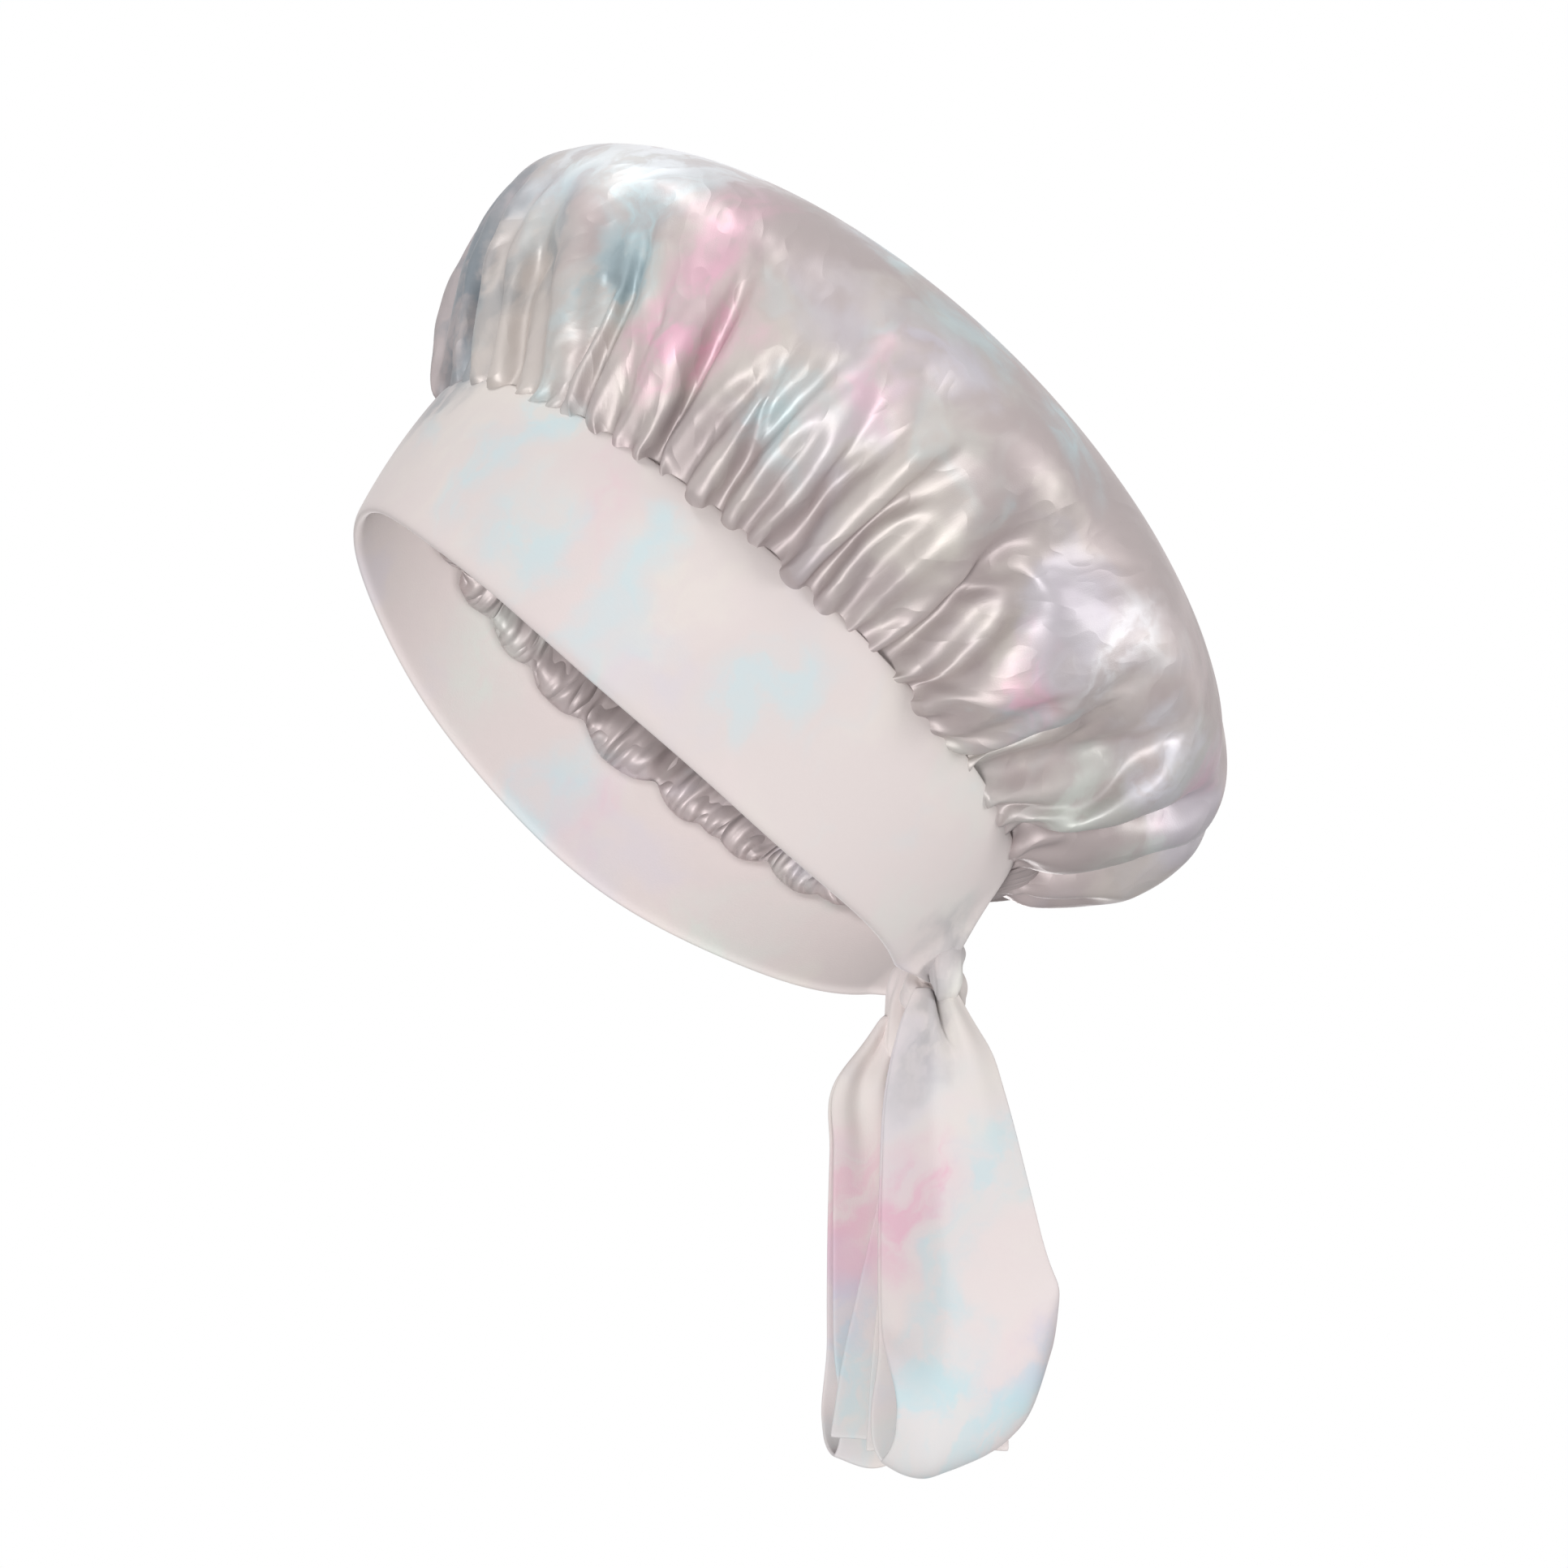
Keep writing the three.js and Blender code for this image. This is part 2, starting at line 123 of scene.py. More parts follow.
def curve(points, share, places=None):
    """Points on a smooth curve through a few points, at shares of its run from 0 to 1. The
    points stand at even shares if their places aren't given."""
    knots = np.asarray(points, float)
    knots = knots.reshape(len(knots), -1)
    places = np.linspace(0, 1, len(knots)) if places is None else np.asarray(places, float)
    slopes = np.gradient(knots, places, axis=0)
    start = np.clip(np.searchsorted(places, share, "right") - 1, 0, len(knots) - 2)
    gap = (places[start + 1] - places[start])[:, None]
    t = np.clip((np.asarray(share) - places[start])[:, None] / gap, 0, 1)
    a, b = knots[start], knots[start + 1]
    u, v = slopes[start] * gap, slopes[start + 1] * gap
    left = (2 * t**3 - 3 * t**2 + 1) * a + (t**3 - 2 * t**2 + t) * u
    right = (3 * t**2 - 2 * t**3) * b + (t**3 - t**2) * v
    return (left + right).squeeze(-1) if knots.shape[1] == 1 else left + right


def ripples(place, waves, seed):
    """A sum of seeded sine waves along a place, about from -1 to 1."""
    rng = np.random.default_rng(seed)
    total = 0
    for count in waves:
        total = total + rng.uniform(0.5, 1) * np.sin(count * place + rng.uniform(0, TURN))
    return total / len(waves) ** 0.5


def grid_piece(name, along, across, shape, cloth, weld=False):
    """A sheet of quads. The shape takes arrays u and v from 0 to 1 and gives points; cloth is
    the flat size that the sheet's map is drawn to."""
    bm = bmesh.new()
    bmesh.ops.create_grid(bm, x_segments=along, y_segments=across, size=0.5)
    places = np.array([vert.co[:2] for vert in bm.verts]) + 0.5
    layer = bm.loops.layers.uv.new("cloth")
    for face in bm.faces:
        for loop in face.loops:
            u, v = places[loop.vert.index]
            loop[layer].uv = (u * cloth[0], v * cloth[1])
    for vert, point in zip(bm.verts, shape(places[:, 0], places[:, 1])):
        vert.co = point
    if weld:
        bmesh.ops.remove_doubles(bm, verts=bm.verts, dist=1e-6)
        bmesh.ops.recalc_face_normals(bm, faces=bm.faces)
    return mesh_piece(name, bm)


def mesh_piece(name, bm):
    mesh = bpy.data.meshes.new(name)
    bm.to_mesh(mesh)
    bm.free()
    mesh.polygons.foreach_set("use_smooth", [True] * len(mesh.polygons))
    piece = bpy.data.objects.new(name, mesh)
    bpy.context.scene.collection.objects.link(piece)
    return piece


def thicken(piece, thickness):
    modifier = piece.modifiers.new("ply", "SOLIDIFY")
    modifier.thickness = thickness
    modifier.offset = 0


def soften(piece):
    modifier = piece.modifiers.new("soft", "SUBSURF")
    modifier.levels = modifier.render_levels = 1


# The satin crown and lining, as gathered cloth

CROWN_GRID = 140  # quads across the flat disc
LINING_GRID = 110
USUAL_FOLD = 0.024  # a broader fold than this starts higher up
PUCKER_WIDTH = 0.0095  # of the small gathers at the seam
CROWN_CREASES = 0.3 * MM
LINING_CREASES = 2.0 * MM

# The cloth solver
CLOTH_SCALE = 10  # it works best on pieces of a few metres
SETTLE_FRAMES = 36
SATIN_MASS = 0.3
SATIN_STRETCH = 20
SATIN_SHEAR = 5
SATIN_BENDING = 0.6
HAIR_PRESSURE = 0.5  # what fills the crown


def disc(count):
    """Polar places on a unit disc for a square grid of points."""
    line = np.linspace(-1, 1, count + 1)
    x, y = np.meshgrid(line, line)
    x, y = x.ravel(), y.ravel()
    sideways = np.abs(x) > np.abs(y)
    radius = np.where(sideways, x, y)
    safe = np.where(radius == 0, 1, radius)
    turn = np.where(sideways, math.pi / 4 * y / safe, math.pi / 2 - math.pi / 4 * x / safe)
    return radius * np.cos(turn), radius * np.sin(turn)


def crown_meridian():
    """From the crown's top to its rim: shares of the widest ring, pull-in and height."""
    up = np.linspace(math.pi / 2, 0, 80)
    down = np.linspace(0, 1, 60)[1:]
    tuck = np.array([0.4, 1]) * TUCK
    ring = np.concatenate([np.cos(up), np.ones(len(down) + 2)])
    swell = np.sin(math.pi / 2 * (1 - down) ** 1.3)
    pull = np.concatenate([0 * up, CROWN_OVERHANG * (1 - swell), [CROWN_OVERHANG] * 2])
    fall = np.concatenate([-CROWN_DOME * np.sin(up), CROWN_SHOULDER * down, CROWN_SHOULDER + tuck])
    return CROWN_SEAM + CROWN_OVERHANG, ring, pull, SEAM_HEIGHT + CROWN_SHOULDER - fall


def lining_meridian():
    """The same for the lining, which hangs in a roll over the band's inner face."""
    widest = BAND_FLARE + CROWN_OVERHANG - LINING_SLACK
    up = np.linspace(math.pi / 2, 0, 80)
    down = np.linspace(0, 1, 40)[1:]
    dome = CROWN_DOME - LINING_SLACK
    middle = SEAM_HEIGHT + CROWN_SHOULDER
    roll = np.array(LINING_ROLL) * MM
    turned = curve(np.concatenate([[[widest, middle]], roll]), down**0.8)
    ring = np.concatenate([np.cos(up), np.ones(len(down))])
    reach = np.concatenate([widest + 0 * up, turned[:, 0]])
    height = np.concatenate([middle + dome * np.sin(up), turned[:, 1]])
    return widest, ring, widest - reach, height


def satin_start(meridian, share, angle, lift, dip):
    """Row-frame places of a satin disc on its meridian, moved along the normal by lift and
    lowered by dip at the sides, where it rolls over the band."""
    widest, ring, pull, height = meridian
    mean = math.sqrt(((HALF_BREADTH + widest) ** 2 + (HALF_LENGTH + widest) ** 2) / 2)
    reach = mean * ring - pull
    arc = np.concatenate([[0], np.hypot(np.diff(reach), np.diff(height)).cumsum()])
    arc /= arc[-1]
    run, rise = np.gradient(reach, arc), np.gradient(height, arc)
    size = np.hypot(run, rise)
    ring, pull, height = (np.interp(share, arc, line) for line in (ring, pull, height))
    out, up = np.interp(share, arc, -rise / size), np.interp(share, arc, run / size)
    x = ((HALF_BREADTH + widest) * ring - pull + out * lift) * np.sin(angle)
    y = -((HALF_LENGTH + widest) * ring - pull + out * lift) * np.cos(angle)
    loft = np.clip((height - SEAM_HEIGHT) / CROWN_SHOULDER, 0, 1)
    y = y + CROWN_SHIFT * loft
    sag = dip * np.abs(np.sin(angle)) * smooth(share, 0.6, 0.85) * (1 - smooth(share, 0.91, 0.99))
    return worn(x, y, height + up * lift - CROWN_LEAN * y * loft - sag)


def fold_phase(angle, widths, spread, seed):
    """Phase and width of uneven folds round the seam. Widths give angle and fold width, spread
    the least and greatest share of it."""
    rng = np.random.default_rng(seed)
    edges = [-math.pi]
    while edges[-1] < math.pi:
        width = np.interp(abs(edges[-1]), widths[0], widths[1])
        edges.append(edges[-1] + width * rng.uniform(*spread) / HALF_LENGTH)
    edges = np.array(edges)
    edges = (edges + math.pi) * TURN / (edges[-1] + math.pi) - math.pi
    phase = np.interp(angle, edges, TURN * np.arange(len(edges)))
    middles = (edges[1:] + edges[:-1]) / 2
    width = np.interp(angle, middles, np.diff(edges) * HALF_LENGTH, period=TURN)
    return phase, width


def satin_piece(name, count, meridian, cut, folds, seed):
    """A disc of satin, drawn up in folds to its seam. Folds gives their widths by angle, how much
    these vary, how far the folds lean back, their depth for their width, where they start, the
    height of the puckers, the dip at the sides and how all of it fades at the rim. Notched folds
    are sharp inwards. With the piece come its points' shares of the way from the middle to the
    edge, and their places on the cloth as it was cut."""
    px, py = disc(count)
    share = np.minimum(np.hypot(px, py), 1)
    angle = np.arctan2(px, -py)
    drift = 0.5 * (1 - share) * ripples(angle, (2, 3, 5), seed + 3)
    drift = drift - folds["lean"] * (1 - share) * np.sin(angle)
    bent = (angle + drift + math.pi) % TURN - math.pi
    phase, width = fold_phase(bent, folds["widths"], folds["spread"], seed)
    wave = np.cos(phase)
    slant = 0
    if folds["notch"]:
        wave = 1 - 2 * np.abs(np.cos(phase / 2)) ** 0.7
        slant = 1.2 * (share - 0.9) * ripples(angle, (3, 5, 9), seed + 7)
    reach = folds["start"] + 0.1 * ripples(angle, (3, 4, 7), seed + 4) - 3.0 * (width - USUAL_FOLD)
    fade = smooth(share, reach, reach + 0.45) * folds["rim"](share)
    near = (angle + slant + math.pi) % TURN - math.pi
    pucker, _ = fold_phase(near, ([0, 3.2], [PUCKER_WIDTH, PUCKER_WIDTH]), (0.6, 1.5), seed + 5)
    crease = np.cos(pucker)
    if folds["notch"]:
        inner, outer = 2 * np.abs(np.sin(pucker / 2)) - 1, 1 - 2 * np.abs(np.cos(pucker / 2))
        crease = lerp(inner, outer, smooth(share, 0.84, 0.9))
    fine = folds["pucker"] * crease * smooth(share, 0.8, 0.93) * np.sqrt(folds["rim"](share))
    lift = folds["depth"] * width * wave * fade + fine
    start = satin_start(meridian, share, angle, lift, folds["dip"])
    piece = grid_piece(name, count, count, lambda u, v: start, 2 * cut)
    return piece, share, np.stack([px * cut[0], py * cut[1], 0 * px], -1)


def band_wall():
    """A plain ring in the band's place that keeps the satin out while it settles."""
    outer = BAND_FLARE + CHANNEL / 2 + 1.6 * BAND_PLY
    foot = -20 * MM
    section = np.array([
        (outer - 4 * MM, foot), (outer, BAND_HEIGHT), (1 * MM, BAND_HEIGHT), (-3 * MM, foot),
    ])

    def edge(u, v):
        corner = section[np.rint(v * 4).astype(int) % 4]
        return corner[:, 0], corner[:, 1]

    return ring_piece("band_wall", 120, 4, edge, (1, 1))


def draw_up(piece, flat, held, sewn):
    """Lets the satin settle as cloth that was cut flat, and keeps where it comes to rest. Held
    gives each point's pin weight, sewn the points that lie inside the band."""
    grown = Matrix.Scale(CLOTH_SCALE, 4)
    trial = bpy.data.objects.new("trial", piece.data.copy())
    bpy.context.scene.collection.objects.link(trial)
    trial.data.transform(grown)
    wall = band_wall()
    wall.data.transform(grown)
    wall.modifiers.new("wall", "COLLISION")
    wall.collision.thickness_outer = 0.001
    wall.collision.cloth_friction = 1
    trial.shape_key_add(name="gathered")
    cut = trial.shape_key_add(name="cut")
    cut.data.foreach_set("co", (flat * CLOTH_SCALE).ravel())
    group = trial.vertex_groups.new(name="held")
    levels = np.round(held, 3)
    for level in np.unique(levels):
        group.add(np.nonzero(levels == level)[0].tolist(), float(level), "REPLACE")
    # Without a modifier before it the cloth leaves its rest shape out
    weld = trial.modifiers.new("weld", "WELD")
    weld.merge_threshold = 1e-7
    cloth = trial.modifiers.new("cloth", "CLOTH")
    settings = cloth.settings
    settings.quality = 5
    settings.mass = SATIN_MASS
    settings.tension_stiffness = settings.compression_stiffness = SATIN_STRETCH
    settings.shear_stiffness = SATIN_SHEAR
    settings.bending_model = "ANGULAR"
    settings.bending_stiffness = SATIN_BENDING
    settings.vertex_group_mass = "held"
    settings.rest_shape_key = cut
    settings.effector_weights.gravity = 0
    settings.use_pressure = True
    settings.uniform_pressure_force = HAIR_PRESSURE
    cloth.collision_settings.distance_min = 0.006
    cloth.collision_settings.collision_quality = 2
    seam = trial.vertex_groups.new(name="sewn")
    seam.add(np.nonzero(sewn)[0].tolist(), 1, "REPLACE")
    cloth.collision_settings.vertex_group_object_collisions = "sewn"
    cloth.point_cache.frame_end = SETTLE_FRAMES
    for number in range(1, SETTLE_FRAMES + 1):
        bpy.context.scene.frame_set(number)
    settled = trial.evaluated_get(bpy.context.evaluated_depsgraph_get())
    places = np.empty(3 * len(flat), np.float32)
    settled.data.vertices.foreach_get("co", places)
    piece.data.vertices.foreach_set("co", places / CLOTH_SCALE)
    piece.data.update()
    for done in (trial, wall):
        bpy.data.objects.remove(done)
    bpy.context.scene.frame_set(1)


def clear_of_band(piece, share, droop, turns):
    """Keeps the crown's satin clear of the band: it hangs over the top edge by no more than
    the droop, and there it stays outside the band's outer face."""
    top = BAND_HEIGHT + 0.6 * MM
    free = share < 0.968
    for turn in range(turns):
        places = np.array([vert.co for vert in piece.data.vertices])
        x = places[:, 0]
        y = places[:, 1] * COS - places[:, 2] * SIN
        z = places[:, 1] * SIN + places[:, 2] * COS
        angle = np.arctan2(x / HALF_BREADTH, -y / HALF_LENGTH)
        across = np.hypot(x, y)
        ring = np.hypot(HALF_BREADTH * np.sin(angle), HALF_LENGTH * np.cos(angle))
        room = ring + BAND_FLARE + CHANNEL / 2 + 2.2 * BAND_PLY
        z = np.where(free & (z < top), top - droop * np.tanh((top - z) / droop), z)
        below = free & (z < top) & (across < room)
        rise = below & ((share > 0.935) | (across < ring + CROWN_SEAM))
        push = np.where(below & ~rise, room / across, 1)
        z = np.where(rise, top, z)
        piece.data.vertices.foreach_set("co", worn(x * push, y * push, z).astype(np.float32).ravel())
        piece.data.update()
        if turn < turns - 1:
            relax(piece, (share > 0.84) & free, 1)


def inside_band(piece, share):
    """Keeps the lining's roll off the band's inner face."""
    places = np.array([vert.co for vert in piece.data.vertices])
    x = places[:, 0]
    y = places[:, 1] * COS - places[:, 2] * SIN
    z = places[:, 1] * SIN + places[:, 2] * COS
    angle = np.arctan2(x / HALF_BREADTH, -y / HALF_LENGTH)
    room = np.hypot(HALF_BREADTH * np.sin(angle), HALF_LENGTH * np.cos(angle)) + 0.3 * MM
    shift = np.where((z < BAND_HEIGHT) & (share < 0.965), np.minimum(room / np.hypot(x, y), 1), 1)
    piece.data.vertices.foreach_set("co", worn(x * shift, y * shift, z).astype(np.float32).ravel())
    piece.data.update()


def relax(piece, chosen, times):
    """Takes the last sharp crinkles out of the chosen points."""
    bm = bmesh.new()
    bm.from_mesh(piece.data)
    bm.verts.ensure_lookup_table()
    verts = [bm.verts[index] for index in np.nonzero(chosen)[0]]
    for _ in range(times):
        bmesh.ops.smooth_vert(bm, verts=verts, factor=0.5,
                              use_axis_x=True, use_axis_y=True, use_axis_z=True)
    bm.to_mesh(piece.data)
    bm.free()


def crown():
    folds = {
        "widths": ([0, 0.15, 0.9, 1.3, 1.9, 3.2], [0.012, 0.011, 0.015, 0.030, 0.038, 0.030]),
        "spread": (0.6, 1.5), "notch": False, "lean": 0.7,
        "depth": 0.27, "start": 0.52, "pucker": 2.8 * MM, "dip": 0,
        "rim": lambda share: np.clip((1 - share) / 0.12, 0, 1),
    }
    piece, share, flat = satin_piece("crown", CROWN_GRID, crown_meridian(), CROWN_CUT, folds, 4)
    held = np.maximum(0.8 * (1 - smooth(share, 0.45, 0.78)), 0.03 * (share < 0.9))
    held = np.where(share > 0.985, 1, held)
    clear_of_band(piece, share, 0.2 * MM, 1)
    draw_up(piece, flat, held, share > 0.95)
    relax(piece, share < 0.72, 10)
    relax(piece, share < 0.8, 4)
    clear_of_band(piece, share, 4.5 * MM, 4)
    relax(piece, share < 0.98, 1)
    soften(piece)
    math.pi * CROWN_CUT.prod()
    dress(piece, "bonnet", "crown_outer", satin_finish("crown satin", CROWN_CREASES))


def lining():
    folds = {
        "widths": ([0, 3.2], [0.02, 0.02]), "spread": (0.35, 1.8), "notch": True, "lean": 0,
        "depth": 0.16, "start": 0.45, "pucker": 0.9 * MM, "dip": LINING_DIP,
        "rim": lambda share: 1 - smooth(share, 0.9, 0.955),
    }
    piece, share, _ = satin_piece("lining", LINING_GRID, lining_meridian(), LINING_CUT, folds, 11)
    inside_band(piece, share)
    relax(piece, share < 0.94, 1)
    soften(piece)
    math.pi * LINING_CUT.prod()
    dress(piece, "bonnet", "crown_lining", satin_finish("lining satin", LINING_CREASES))


# The folded jersey band

def nape_angle(offset, distance):
    """Angle at which a ring comes within a distance of the middle of the nape."""
    return math.pi - np.arcsin(distance / (HALF_BREADTH + offset))


def tied_share(angle):
    return smooth(np.abs(angle), TAPER_ANGLE, nape_angle(0, KNOT_SIDE))


def band_offset(angle, share):
    face = BAND_FLARE * share + 4 * BAND_BULGE * share * (1 - share)
    return face + BAND_END_FLARE * tied_share(angle) * (1 - 0.55 * share)


def band_shape(u, v):
    """Outer layer down to the fold and inner layer up again, from one tied end to the other."""
    along = 2 * u - 1
    angle = along * nape_angle(0, KNOT_SIDE)
    side = np.where(v < 0.5, 1, -1)
    share = np.abs(2 * v - 1) ** 1.25
    tied = tied_share(angle)
    low = lerp(-BAND_SIDE_DIP * np.sin(angle) ** 2, BAND_END_FOOT, tied)
    low = low + 0.5 * MM * ripples(angle, (3, 5, 8), 21)
    turned_in = smooth(np.abs(along), 0.955, 1.01)
    high = lerp(lerp(BAND_HEIGHT, BAND_END_TOP, tied), 11 * MM, turned_in)
    fold_round = np.sqrt(1 - (1 - np.clip(share / 0.04, 0, 1)) ** 2)
    lip = 1 - 0.45 * smooth(share, 0.95, 1)
    half = (lerp(FOLD_ROOM, CHANNEL, share) + BAND_PLY) / 2 * fold_round * lip
    ease = 0.5 * MM * ripples(angle, (2, 4, 7), 22) * np.sin(math.pi * share)
    pleats = 1.4 * MM * tied**1.5 * np.cos(2.6 * TURN * share + 0.6 * side)
    offset = band_offset(angle, share) + side * half + ease + pleats - 4 * MM * turned_in
    angle = along * nape_angle(offset, KNOT_SIDE)
    x = (HALF_BREADTH + offset) * np.sin(angle)
    y = -(HALF_LENGTH + offset) * np.cos(angle)
    return worn(x, y, lerp(low, high, share))


def band():
    flat = (0.572, 0.112)
    piece = grid_piece("band", 220, 40, band_shape, flat)
    thicken(piece, BAND_PLY)
    soften(piece)
    dress(piece, "bonnet", "headband", jersey_finish("band jersey", "jersey"))


# What is sewn in at the seam

def ring_piece(name, along, across, section, cloth):
    """A closed ring round the head from a section of offset and height."""
    def shape(u, v):
        offset, height = section(u, v)
        x = (HALF_BREADTH + offset) * np.sin(TURN * u)
        y = -(HALF_LENGTH + offset) * np.cos(TURN * u)
        return worn(x, y, height)
    return grid_piece(name, along, across, shape, cloth, weld=True)


def hem_elastic():
    """A ribbed tape under the satin's edge."""
    foot, top, thick, ribs = 31.7 * MM, 37.5 * MM, 1.3 * MM, 5

    def section(u, v):
        turn = TURN * v
        upright = np.sign(np.cos(turn)) * np.abs(np.cos(turn)) ** 0.3
        height = (foot + top) / 2 + (top - foot) / 2 * upright
        rib = 1 + 0.12 * np.cos(ribs * TURN * (height - foot) / (top - foot))
        flat_side = np.sign(np.sin(turn)) * np.abs(np.sin(turn)) ** 0.3
        pull = 1 + 0.06 * np.cos(240 * TURN * u)
        offset = 4 * MM + thick / 2 * flat_side * rib * pull
        return offset, height

    piece = ring_piece("elastic_tape", 480, 40, section, (0.58, 0.013))
    dress(piece, "bonnet", "hem_elastic", elastic_finish())


def seam_thread():
    """Two threads laid round each other, stitch after stitch."""
    stitches, height, radius = 150, 30.9 * MM, 0.24 * MM
    for strand in range(2):
        def section(u, v, lead=math.pi * strand):
            twist = stitches * TURN * u + lead
            offset = 3.6 * MM + radius * 0.9 * np.cos(twist) + radius * np.cos(TURN * v)
            return offset, height + radius * 0.9 * np.sin(twist) + radius * np.sin(TURN * v)
        piece = ring_piece(f"seam_thread_{strand + 1}", 1200, 6, section, (0.58, 0.002))
        dress(piece, "bonnet", "seam_thread", thread_finish())


def nape_casing():
    """A short ruched binding that closes the crown's edge over the nape, with gathers down it."""
    half, gathers = 15 * MM, 9
    foot, top, inner = 33 * MM, 53 * MM, 1.6 * MM

    def shape(u, v):
        x = half * (2 * u - 1)
        drop = 1 - np.abs(2 * v - 1)
        side = np.where(v < 0.5, 1, -1)
        ruche = np.abs(np.cos(gathers * math.pi * u + 0.5 * np.sin(4 * drop + 9 * u)))
        height = lerp(top, foot, drop)
        width = inner * np.cos(math.pi / 2 * smooth(drop, 0.8, 1)) ** 0.5
        shut = np.sqrt(1 - (2 * u - 1) ** 8)
        middle = lerp(8.2, 2.5, smooth(drop, 0.15, 0.85)) * MM
        offset = middle + side * (width + 1.1 * MM * (ruche - 0.4) * (1 - smooth(drop, 0.85, 1))) * shut
        angle = math.pi - np.arcsin(x / (HALF_BREADTH + offset))
        y = -(HALF_LENGTH + offset) * np.cos(angle)
        return worn(x, y, height + 0.6 * MM * ruche * (1 - smooth(drop, 0, 0.3)))

    flat = (0.044, 0.044)
    piece = grid_piece("casing_binding", 108, 48, shape, flat)
    thicken(piece, 0.6 * MM)
    soften(piece)
    dress(piece, "bonnet", "nape_casing", satin_finish("crown satin", CROWN_CREASES))


# The knot

def bundle(name, line, radii, grooves, seed, steps=64, sides=40):
    """A bunch of cloth along a line of points: an oval rope with folds along it."""
    share = np.linspace(0, 1, steps + 1)
    middle = curve(line, share)
    along = np.gradient(middle, axis=0)
    along /= np.linalg.norm(along, axis=1)[:, None]
    wide, thin = curve(radii, share).T
    out = np.cross(along, (0.2, 1, 0.1))
    out /= np.linalg.norm(out, axis=1)[:, None]
    up = np.cross(along, out)

    def shape(u, v):
        row = np.rint(u * steps).astype(int)
        turn = TURN * v
        cap = np.sqrt(np.clip(1 - np.abs(2 * u - 1) ** 14, 0, 1))
        crease = np.cos(grooves * turn + 1.1 * ripples(u * TURN, (1, 2), seed) + 2 * u)
        bulge = cap * (1 + 0.1 * crease + 0.04 * np.cos((2 * grooves + 1) * turn + 5 * u))
        a = (wide[row] * bulge * np.cos(turn))[:, None]
        b = (thin[row] * bulge * np.sin(turn))[:, None]
        return middle[row] + up[row] * a + out[row] * b

    return grid_piece(name, steps, sides, shape, (0.05, 0.04), weld=True)


def turned(points, side):
    """Points about the knot's centre in mm, turned half round its upright axis for the right."""
    places = np.array(points, float) * MM * (side, side, 1)
    return places + np.array(KNOT)


def knot(name, side):
    """One tie in the knot: a strand that twists round the other, and the wrap that comes
    from the band's end over the neck of the bow loop."""
    turn = np.linspace(math.radians(-75), math.radians(255), 12)
    helix = np.stack([
        1000 * HELIX_RADIUS * np.cos(turn),
        1000 * HELIX_RADIUS * np.sin(turn),
        1000 * HELIX_PITCH * (0.25 - turn / TURN),
    ], -1)
    radius = 1000 * STRAND_RADIUS
    girth = radius * np.array([(0.9, 0.9), (1.08, 1), (1.1, 1), (1.05, 1), (0.8, 0.8)])
    strand = bundle(f"{name}_strand", turned(helix, side), girth * MM, 5, 31)
    if side > 0:
        wrap_line = [(6, 3, 13), (11, 1.6, 10), (14.6, 0.6, 6), (15.6, 0.5, 2), (14.5, 0.6, -1),
                     (10, 0.6, -2.5)]
        wrap_girth = [(4.2, 2.6), (4.8, 3.4), (4.6, 3.8), (4.4, 3.8), (3.6, 3.0), (2.4, 2.0)]
    else:
        wrap_line = [(16, 3.4, 12), (14, 5.6, 6), (12, 7.2, 0), (9.5, 8.4, -7), (8.6, 9, -13),
                     (10, 8.6, -17)]
        wrap_girth = [(4.2, 2.0), (4.4, 3.0), (4.0, 3.2), (3.8, 3.0), (3.6, 2.6), (2.2, 1.6)]
    wrap = bundle(f"{name}_wrap", turned(wrap_line, side), np.array(wrap_girth) * MM, 4, 32)
    for piece in (strand, wrap):
        soften(piece)
        dress(piece, "bonnet", name, jersey_finish("tie jersey", "tie"))


# The bow's loops and the tie ends

